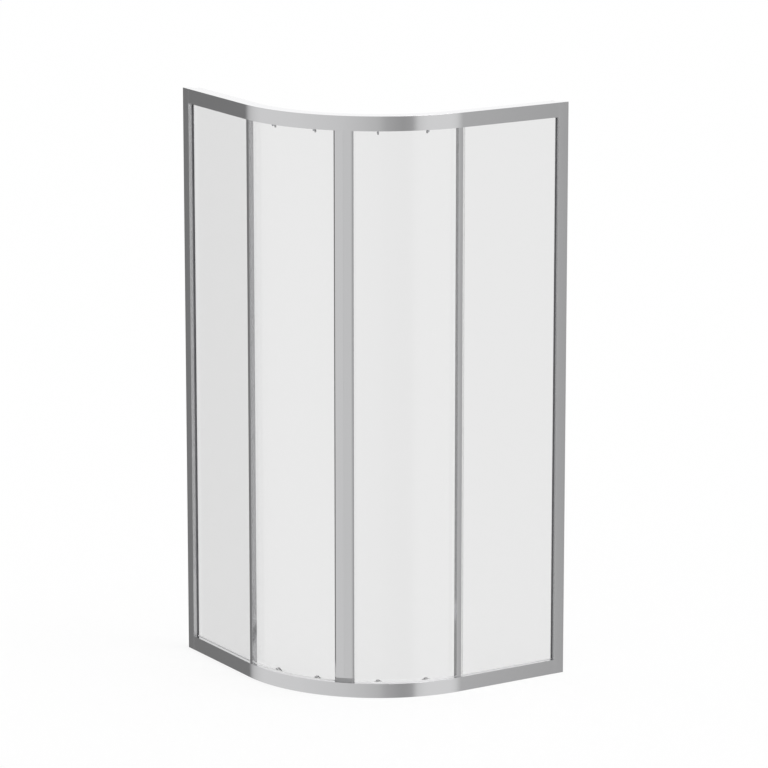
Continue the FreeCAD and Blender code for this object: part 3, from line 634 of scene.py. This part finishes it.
class SHOWER_OT_rail_ends(bpy.types.Operator):
    """Cap the rails' ends behind the posts"""
    bl_idname = "shower.rail_ends"
    bl_label = "Rail end caps"

    def execute(self, context):
        size = millimetres()
        tall, thick = LIP + WALL, 2
        for side in SIDES:
            caps = []
            for low, high in ((0, tall), (size.height - tall, size.height)):
                plate = box_outline(size.post_depth, size.rail_depth, low, high)
                caps.append(along_pane(side, rounded(plate, 1.5, 4, (1, 2)), size.post_line,
                                       size.post_line + thick, size, True))
            add_piece(f"{side}_RailEnds", joined(caps), "frame", ["rail_end_caps"],
                      "pale_plastic", edge=0.0004)
        return {"FINISHED"}


class SHOWER_OT_stiles(bpy.types.Operator):
    """Cap the free edges of the flat panes"""
    bl_idname = "shower.stiles"
    bl_label = "Stiles"

    def execute(self, context):
        size = millimetres()
        front, back, rear = size.groove_front, size.groove_back, size.rib_back
        end = STILE_BEFORE
        outline = [
            (STILE_RECESS, -STILE_PAST), (STILE_RECESS, end), (front, end), (front, STILE_FLOOR),
            (back, STILE_FLOOR), (back, end), (rear, end), (rear, -STILE_PAST)]
        for side in SIDES:
            mesh = upright(side, 0, outline, size.rail_height, size.height - GROOVE_HANG, size)
            add_piece(f"{side}_Stile", mesh, "frame", [f"{side}_fixed_stile"],
                      "satin_aluminium", edge=size.edge_round / 1000)
        return {"FINISHED"}


# ---- glass

def add_pane(name, mesh, body, node, glass):
    """Glass piece that lets the lamps through, so it throws no dark shadow."""
    piece = add_piece(name, mesh, body, [node], glass, edge=0.0006)
    piece.visible_shadow = False


class SHOWER_OT_flat_panes(bpy.types.Operator):
    """Glaze the flat panels"""
    bl_idname = "shower.flat_panes"
    bl_label = "Flat panes"

    def execute(self, context):
        size = millimetres()
        start, end = STILE_FLOOR + 0.5, size.post_line + POST_GRIP - PANE_PLAY
        outline = box_outline(size.pane_recess, size.pane_back, start, end)
        low, high = 6, size.height - 8
        for side in SIDES:
            mesh = upright(side, 0, outline, low, high, size, True)
            add_pane(f"{side}_FlatPane", mesh, "frame", f"{side}_fixed_glass", "flat_glass")
        return {"FINISHED"}


class SHOWER_OT_bent_panes(bpy.types.Operator):
    """Glaze the doors with bent panes"""
    bl_idname = "shower.bent_panes"
    bl_label = "Bent panes"

    def execute(self, context):
        size = millimetres()
        radius = size.bend_radius - size.door_recess
        from_closer = size.closer_width / 2 - CLOSER_GRIP + PANE_PLAY
        start = -turn_of(size.door_overlap, radius)
        end = closer_turn(size) - turn_of(from_closer, radius)
        from_end = 30
        outline = box_outline(size.door_recess, size.door_back, from_end, size.height - from_end)
        for side in SIDES:
            mesh = along_bend(side, outline, start, end, 40, size)
            add_pane(f"{side}_BentPane", mesh, f"{side}_door", f"{side}_door_glass", "bent_glass")
        return {"FINISHED"}


# ---- closers, gaskets, seals

def closer_turn(size):
    """Turn along the bend at which a closer's own frame looks out."""
    return 45 - turn_of(size.closer_width / 2, size.bend_radius - CLOSER_RECESS)


def meeting(depth, size):
    """Back distance of a closer's meeting face, in the closer's frame, with half the seam's gap."""
    lean = math.radians(45 - closer_turn(size))
    return 0.06 - (size.bend_radius - depth) * math.tan(lean)


def closer_outline(size, pocket=True):
    """Depth and back round a closer: chamfered face, tapered side, groove, and pocket for a magnet."""
    half, face = size.closer_width / 2, CLOSER_RECESS
    chamfer_back, chamfer_deep = 6.3, 6.2
    front, groove = size.door_recess - PANE_PLAY, size.door_back + REAR_PLAY
    floor, lip, rear = half - CLOSER_GRIP, half - REAR_LIP, groove + 1.6
    points = [
        (face, meeting(face, size)), (face, half - chamfer_back), (face + chamfer_deep, half),
        (front, half - SIDE_TAPER), (front, floor), (groove, floor), (groove, lip), (rear, lip),
        (rear, meeting(rear, size))]
    if pocket:
        near, far, back = 14, 26, 6.5 - half
        points += [(far, meeting(far, size)), (far, back), (near, back), (near, meeting(near, size))]
    return rounded(points, 1.2, 4, (1, 2, 3, 6, 7, 8))


class SHOWER_OT_closers(bpy.types.Operator):
    """Stand the closing profiles that meet in the middle"""
    bl_idname = "shower.closers"
    bl_label = "Closing profiles"

    def execute(self, context):
        size = millimetres()
        turn, foot, head = closer_turn(size), CLOSER_FOOT, size.height - CLOSER_HEAD
        solid = closer_outline(size, pocket=False)
        for side in SIDES:
            mesh = upright(side, turn, closer_outline(size), foot, head, size)
            add_piece(f"{side}_Closer", mesh, f"{side}_door", [f"{side}_closing_profile"],
                      "satin_aluminium")
            low = upright(side, turn, solid, size.rail_height + 0.1, foot, size)
            high = upright(side, turn, solid, head, head + 2, size, True)
            add_piece(f"{side}_CloserCaps", joined([low, high]), f"{side}_door",
                      [f"{side}_closing_end_caps"], "grey_cap", edge=0.0005)
        return {"FINISHED"}


class SHOWER_OT_closing_gaskets(bpy.types.Operator):
    """Line the closing profiles' grooves with the gasket that grips the bent glass"""
    bl_idname = "shower.closing_gaskets"
    bl_label = "Closing gaskets"

    def execute(self, context):
        size = millimetres()
        half = size.closer_width / 2
        front, rear = size.door_recess, size.door_back
        floor, edge = half - CLOSER_GRIP, half - CLOSER_GRIP + 1
        front_lip, rear_lip = half - SIDE_TAPER - 0.2, half - REAR_LIP - 0.2
        outline = [
            (front - PANE_PLAY, floor), (rear + REAR_PLAY, floor), (rear + REAR_PLAY, rear_lip),
            (rear, rear_lip), (rear, edge), (front, edge), (front, front_lip),
            (front - PANE_PLAY, front_lip)]
        low, high = CLOSER_FOOT + 1, size.height - CLOSER_HEAD - 1
        for side in SIDES:
            mesh = upright(side, closer_turn(size), outline, low, high, size)
            add_piece(f"{side}_ClosingGasket", mesh, f"{side}_door", [f"{side}_closing_gasket"],
                      "pale_rubber")
        return {"FINISHED"}


class SHOWER_OT_gaskets(bpy.types.Operator):
    """Press the rubber beads in beside the flat glass"""
    bl_idname = "shower.gaskets"
    bl_label = "Glazing gaskets"

    def execute(self, context):
        size = millimetres()
        low, high = size.rail_height, size.height - size.rail_height
        end = size.height - GROOVE_HANG
        hidden = 14
        for side in SIDES:
            strips, dark = [], []
            for front, back, proud in (
                    (size.groove_front, size.pane_recess, 2), (size.pane_back, size.groove_back, -0.3)):
                for low_end, high_end, corners in (
                        (low - hidden, low + proud, (2, 3)), (end + 0.3, end + hidden, (0, 1))):
                    strip = rounded(box_outline(front, back, low_end, high_end), 0.4, 3, corners)
                    strips.append(along_pane(side, strip, STILE_BEFORE, size.post_line, size))
                stile = box_outline(front, back, STILE_FLOOR + 1, STILE_BEFORE)
                strips.append(upright(side, 0, stile, low, end, size))
            post_front, grip = size.pane_recess - POST_GASKET, size.post_line + POST_GRIP - 1
            for front, back in ((post_front, size.pane_recess), (size.pane_back, size.groove_back)):
                post = box_outline(front, back, size.post_line, grip)
                dark.append(upright(side, 0, post, low, high, size))
            bead = box_outline(post_front, size.pane_recess, size.post_line - 1.6, size.post_line)
            dark.append(upright(side, 0, rounded(bead, 1.2, 5, (0,)), low + 0.8, high, size))
            for label, parts, key in (
                    ("PostGaskets", dark, "gasket_rubber"), ("PaneGaskets", strips, "pale_rubber")):
                add_piece(f"{side}_{label}", joined(parts), "frame", [f"{side}_glazing_gaskets"],
                          key)
        return {"FINISHED"}


class SHOWER_OT_seals(bpy.types.Operator):
    """Clip the fin seals on the doors' rear edges"""
    bl_idname = "shower.seals"
    bl_label = "Fin seals"

    def execute(self, context):
        size = millimetres()
        start = -turn_of(size.door_overlap, size.bend_radius - size.door_recess)
        wall, play, mouth = 1, 0.1, -7
        front, rear = size.door_recess - play, size.door_back + play
        outer, inner = size.door_recess - wall, size.door_back + wall
        fin = size.pane_back + 0.5
        outline = rounded([
            (outer, mouth), (front, mouth), (front, play), (rear, play), (rear, mouth), (inner, mouth),
            (inner, wall), (outer, wall), (fin, 3), (fin, 2.2), (outer, -0.5)], 0.3, 2)
        for side in SIDES:
            mesh = upright(side, start, outline, size.rail_height + 1,
                           size.height - size.rail_height - 1, size)
            piece = add_piece(f"{side}_FinSeal", mesh, f"{side}_door", [f"{side}_edge_seal"],
                              "seal_film")
            piece.visible_shadow = False
        return {"FINISHED"}


# ---- rollers

class SHOWER_OT_wheels(bpy.types.Operator):
    """Turn the nylon wheels, each with its bearing"""
    bl_idname = "shower.wheels"
    bl_label = "Wheels"

    def execute(self, context):
        size = millimetres()
        radius = size.wheel_radius
        tyre = rounded(both_ends([
            (1.7, 4.3), (1.2, 4.6), (1.2, radius - 2), (2, radius - 1.6), (2, radius)]), 0.3, 3)
        bearing = rounded(both_ends([
            (1.9, 2.06), (1.9, 2.9), (1.5, 3.0), (1.5, 3.6), (1.9, 3.7), (1.9, 4.25)]), 0.15, 2)
        for side in SIDES:
            for name, turn in PIVOTS.items():
                for end, level in (("top", size.height - AXLE), ("bottom", AXLE)):
                    node, spot = f"{side}_{name}_{end}_wheel", (size.wheel_line, 0, level)
                    add_piece(f"{node}_Tyre", turned(side, turn, tyre, spot, size, 64), node, [node],
                              "white_nylon")
                    add_piece(f"{node}_Bearing", turned(side, turn, bearing, spot, size), node, [],
                              "turned_steel")
        return {"FINISHED"}


class SHOWER_OT_carriers(bpy.types.Operator):
    """Hang the top wheels' carriers behind the glass"""
    bl_idname = "shower.carriers"
    bl_label = "Top carriers"

    def execute(self, context):
        size = millimetres()
        top, half, thin = size.height, 10, 2.6
        crown, shoulder = top - AXLE + 6, top - size.rail_height + 2
        tail, stud_level = top - size.rail_height - 17, top - size.stud_drop
        outline = rounded([
            (-half, crown), (half, crown), (half, shoulder), (thin, shoulder), (thin, tail),
            (-thin, tail), (-thin, shoulder), (-half, shoulder)], 2.5, 6, (0, 1, 4, 5))
        pad = rounded(box_outline(-thin, thin, stud_level - 2.4, stud_level + 3.4), 2.3, 6, (0, 1))
        for side in SIDES:
            parts = []
            for turn in PIVOTS.values():
                parts += [
                    facing_plate(side, turn, outline, CARRIER, CARRIER + PLATE, size),
                    facing_plate(side, turn, pad, size.seat, CARRIER, size),
                    stub_axle(side, turn, top - AXLE, size),
                    stud(side, turn, stud_level, CARRIER, size)]
            add_piece(f"{side}_TopCarriers", joined(parts), f"{side}_door", [f"{side}_top_carriers"],
                      "grey_carrier", edge=0.0005)
        return {"FINISHED"}


def stub_axle(side, turn, level, size):
    """Stub axle that reaches from a plate through its wheel."""
    tip, radius = size.wheel_line - 2.4, 2
    reach, chamfer = CARRIER - tip, 0.3
    profile = [(0, 0), (0, radius - chamfer), (chamfer, radius), (reach, radius), (reach, 0)]
    return turned(side, turn, profile, (tip, 0, level), size, 32)


def stud(side, turn, level, face, size):
    """Square stud through the glass."""
    half = 1.4
    outline = box_outline(-half, half, level - half, level + half)
    return facing_plate(side, turn, outline, size.door_recess, face, size, False)


class SHOWER_OT_housings(bpy.types.Operator):
    """Fix the domed housings and their release blocks behind the glass"""
    bl_idname = "shower.housings"
    bl_label = "Bottom housings"

    def execute(self, context):
        size = millimetres()
        low, shoulder, half = 30.5, HOUSING + 2.5, 12
        slot, slot_top = 6.25, shoulder - 0.5
        split, rear = CARRIER - 0.25, size.seat + 10
        shell = [(-half, low), (half, low), (half, shoulder), *self.dome(6, shoulder, 3.4),
                 (-half, shoulder)]
        hood = [(-half, low), (-slot, low), (-slot, slot_top), (slot, slot_top), (slot, low),
                (half, low), (half, shoulder), *self.dome(7.4, shoulder, 5), (-half, shoulder)]
        for side in SIDES:
            shells, hoods = [], []
            for name, turn in PIVOTS.items():
                shells.append(facing_plate(side, turn, shell, size.seat, split, size))
                shells.append(stud(side, turn, HOUSING, size.seat, size))
                hoods.append(facing_plate(side, turn, hood, split, rear, size))
                self.add_release(side, name, turn, rear, size)
            for label, parts, key in (("Housings", shells, "white_shell"), ("Hoods", hoods, "grey_cap")):
                add_piece(f"{side}_{label}", joined(parts), f"{side}_door", [f"{side}_bottom_housings"],
                          key, edge=0.0006)
        return {"FINISHED"}

    @staticmethod
    def dome(half, foot, rise):
        """Half ellipse as back and level, from right to left."""
        return [(half * math.cos(math.pi * step / 16), foot + rise * math.sin(math.pi * step / 16))
                for step in range(17)]

    @staticmethod
    def add_release(side, name, turn, rear, size):
        """Release block with its thumb ledge and stub axle."""
        half, top, knee = 6, HOUSING + 2, CARRIER + PLATE
        leg, body = box_outline(-half, half, AXLE - 5, top), box_outline(-half, half, 31, top)
        ledge = box_outline(-half, half, top - 4, top)
        parts = [
            facing_plate(side, turn, leg, CARRIER, knee, size),
            facing_plate(side, turn, body, knee, rear, size),
            facing_plate(side, turn, ledge, rear, rear + 4, size),
            stub_axle(side, turn, AXLE, size)]
        node = f"{side}_{name}_release_block"
        add_piece(f"{node}_Block", joined(parts), node, [node], "grey_carrier",
                  edge=0.0004)


class SHOWER_OT_nuts(bpy.types.Operator):
    """Tighten the low cap nuts on the glass"""
    bl_idname = "shower.nuts"
    bl_label = "Glass nuts"

    def execute(self, context):
        size = millimetres()
        profile = rounded([
            (0.9, 0), (0.9, 1.35), (0, 1.5), (0, 3.0), (0.5, 3.4), (NUT_THICK, 3.4), (NUT_THICK, 0)],
            0.25, 3, (2, 3, 4))
        flats = set(range(1, 6))
        for side in SIDES:
            nuts = [
                turned(side, turn, profile, (size.door_recess - NUT_THICK, 0, level), size, facets=flats)
                for turn in PIVOTS.values() for level in (size.height - size.stud_drop, HOUSING)]
            add_piece(f"{side}_GlassNuts", joined(nuts), f"{side}_door", [f"{side}_glass_nuts"],
                      "turned_steel")
        return {"FINISHED"}


# ---- pieces kept from the frame

class SHOWER_OT_core(bpy.types.Operator):
    """Finish the hidden pieces that keep their own shape"""
    bl_idname = "shower.core"
    bl_label = "Hidden pieces"

    FINISHES = {
        "wall_channel": "mill_aluminium",
        "corner_connectors": "block_rubber",
        "setting_blocks": "block_rubber",
        "door_stops": "block_rubber",
        "groove_infill": "pale_rubber",
        "magnetic_strip": "magnet_strip",
    }

    def execute(self, context):
        for name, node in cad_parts.items():
            if node.hide_render:
                continue
            key = next((finish_key for part, finish_key in self.FINISHES.items() if part in name), None)
            if key is None:
                raise RuntimeError(f"no finish is named for {name}")
            node.data.materials.clear()
            node.data.materials.append(finish(key))
        return {"FINISHED"}


# ---- studio

class SHOWER_OT_studio(bpy.types.Operator):
    """Lay the pale floor, light it and aim the camera"""
    bl_idname = "shower.studio"
    bl_label = "Studio"

    # bearing round the studio, counted like the bend, and brightness of what the metal mirrors there
    MIRRORED = (
        (-180, 0.95), (-150, 0.95), (-140, 1.08), (-118, 1.06), (-110, 0.5), (-100, 0.24),
        (-58.6, 0.19), (-56, 0.42), (-53, 0.58), (-47, 0.68), (-40, 0.73), (-6, 0.72), (30, 0.66),
        (46, 0.6), (58, 0.54), (63, 0.44), (76, 0.36), (83, 0.39), (87, 0.68), (94, 0.76), (114, 0.76),
        (119, 0.7), (120.3, 0.57), (123.2, 0.49), (125, 0.38), (132, 0.36), (150, 0.9), (180, 0.95))

    def execute(self, context):
        studio = context.scene.enclosure_studio
        self.add_floor()
        self.add_world(studio)
        self.add_sun(studio)
        self.add_camera(studio)
        context.scene.view_settings.view_transform = "Standard"
        return {"FINISHED"}

    def add_floor(self):
        """Pale floor that keeps a soft shadow and that metal doesn't mirror."""
        bm = bmesh.new()
        bmesh.ops.create_grid(bm, x_segments=1, y_segments=1, size=30)
        mesh = bpy.data.meshes.new("StudioFloor")
        bm.to_mesh(mesh)
        bm.free()
        floor = bpy.data.objects.new("StudioFloor", mesh)
        floor.location.z = -0.0004
        floor.visible_glossy = False
        bpy.context.scene.collection.objects.link(floor)
        material, tree, shader = new_material("studio_floor")
        feed(tree, shader, {
            "Base Color": (0.96, 0.96, 0.96, 1), "Roughness": 1.0, "Specular IOR Level": 0.0})
        glow = add_node(tree, "Emission", {"Color": (1, 1, 1, 1)}).outputs["Emission"]
        clear = add_node(tree, "BsdfTransparent").outputs["BSDF"]
        seen, mirrored = self.light_paths(tree)
        glow_share = self.calculation(tree, "MULTIPLY", seen, 0.8)
        shown = self.choose(tree, glow_share, shader.outputs["BSDF"], glow)
        feed(tree, tree.nodes["Material Output"], {"Surface": self.choose(tree, mirrored, shown, clear)})
        mesh.materials.append(material)

    def add_world(self, studio):
        """White backdrop, even light on matt surfaces, and cards of light for metal to mirror."""
        world = bpy.data.worlds.new("Studio")
        bpy.context.scene.world = world
        world.use_nodes = True
        tree = world.node_tree
        tree.nodes.clear()
        ray = add_node(tree, "TexCoord").outputs["Generated"]
        axes = add_node(tree, "SeparateXYZ", {"Vector": ray}).outputs
        west, south = [self.calculation(tree, "MULTIPLY", axes[axis], -1) for axis in ("X", "Y")]
        bearing = self.calculation(tree, "ARCTAN2", south, west)
        share = add_node(tree, "MapRange", {
            "From Min": -math.pi, "From Max": math.pi, "Value": bearing})
        cards = add_node(tree, "ValToRGB", {"Fac": share.outputs["Result"]})
        stops = cards.color_ramp.elements
        stops.remove(stops[1])
        for index, (angle, value) in enumerate(self.MIRRORED):
            spot = (angle + 180) / 360
            stop = stops[0] if index == 0 else stops.new(spot)
            stop.position = spot
            stop.color = (value, value, value, 1)
        white = (1, 1, 1, 1)
        mirror = self.background(tree, cards.outputs["Color"], 1.0)
        even, backdrop = self.background(tree, white, studio.sky), self.background(tree, white, 1.0)
        seen, mirrored = self.light_paths(tree)
        shown = self.choose(tree, mirrored, self.choose(tree, seen, even, backdrop), mirror)
        add_node(tree, "OutputWorld", {"Surface": shown})

    @staticmethod
    def calculation(tree, operation, first, second):
        """Sum or comparison of two sockets or numbers."""
        return add_node(tree, "Math", {0: first, 1: second}, operation=operation).outputs[0]

    def light_paths(self, tree):
        """Two switches: seen straight or through glass, and seen in a shiny surface."""
        path = add_node(tree, "LightPath").outputs
        seen = self.calculation(tree, "MAXIMUM", path["Is Camera Ray"], path["Is Transmission Ray"])
        return seen, self.calculation(tree, "GREATER_THAN", path["Glossy Depth"], 0.5)

    @staticmethod
    def background(tree, colour, strength):
        """Background light of one strength."""
        node = add_node(tree, "Background", {"Color": colour, "Strength": strength})
        return node.outputs["Background"]

    @staticmethod
    def choose(tree, switch, off, on):
        """One of two shaders by a switch."""
        return add_node(tree, "MixShader", {"Fac": switch, 1: off, 2: on}).outputs["Shader"]

    @staticmethod
    def add_sun(studio):
        """One broad soft lamp from the upper front right."""
        lamp = bpy.data.lights.new("SoftLamp", "SUN")
        lamp.energy = studio.sun
        lamp.angle = math.radians(35)
        sun = bpy.data.objects.new("SoftLamp", lamp)
        bpy.context.scene.collection.objects.link(sun)
        sun.rotation_euler = Vector((-0.25, 0.55, -1.2)).to_track_quat("-Z", "Y").to_euler()

    @staticmethod
    def add_camera(studio):
        """Camera at the photograph's angle."""
        around, above = studio.azimuth, studio.elevation
        away = Vector((math.sin(around) * math.cos(above), -math.cos(around) * math.cos(above),
                       math.sin(above)))
        data = bpy.data.cameras.new("StudioCamera")
        data.lens = studio.lens
        data.sensor_width = 36
        data.clip_end = 100
        camera = bpy.data.objects.new("StudioCamera", data)
        bpy.context.scene.collection.objects.link(camera)
        camera.location = Vector(studio.target) + away * studio.distance
        camera.rotation_euler = away.to_track_quat("Z", "Y").to_euler()
        bpy.context.scene.camera = camera


# ---- panel and registration

OPERATORS = (
    SHOWER_OT_rails, SHOWER_OT_posts, SHOWER_OT_adjusters, SHOWER_OT_rail_ends, SHOWER_OT_stiles,
    SHOWER_OT_flat_panes, SHOWER_OT_bent_panes, SHOWER_OT_closers, SHOWER_OT_closing_gaskets,
    SHOWER_OT_gaskets, SHOWER_OT_seals, SHOWER_OT_wheels, SHOWER_OT_carriers, SHOWER_OT_housings,
    SHOWER_OT_nuts, SHOWER_OT_core, SHOWER_OT_studio)


class SHOWER_PT_panel(bpy.types.Panel):
    """Sizes, finishes and pieces of the enclosure"""
    bl_idname = "SHOWER_PT_panel"
    bl_label = "Quadrant Shower"
    bl_space_type = "VIEW_3D"
    bl_region_type = "UI"
    bl_category = "Shower"

    def draw(self, context):
        for title, (key, kind) in zip(("Sizes", "Finishes", "Studio"), GROUPS.items()):
            box = self.layout.box()
            box.label(text=title)
            for name in kind.__annotations__:
                box.prop(getattr(context.scene, key), name)
        box = self.layout.box()
        box.label(text="Pieces")
        for operator in OPERATORS:
            box.operator(operator.bl_idname)


GROUPS = {
    "enclosure_sizes": EnclosureSizes,
    "enclosure_finish": EnclosureFinish,
    "enclosure_studio": StudioSettings,
}


def register():
    """Make the panel, the operators and their settings known."""
    for group in GROUPS.values():
        bpy.utils.register_class(group)
    for operator in OPERATORS:
        bpy.utils.register_class(operator)
    bpy.utils.register_class(SHOWER_PT_panel)
    for key, group in GROUPS.items():
        setattr(bpy.types.Scene, key, PointerProperty(type=group))


def unregister():
    """Take away what register added."""
    for key in GROUPS:
        delattr(bpy.types.Scene, key)
    bpy.utils.unregister_class(SHOWER_PT_panel)
    for operator in reversed(OPERATORS):
        bpy.utils.unregister_class(operator)
    for group in reversed(list(GROUPS.values())):
        bpy.utils.unregister_class(group)


def main():
    """Build every piece in order."""
    register()
    for operator in OPERATORS:
        group, name = operator.bl_idname.split(".")
        getattr(getattr(bpy.ops, group), name)()


if __name__ == "__main__":
    main()
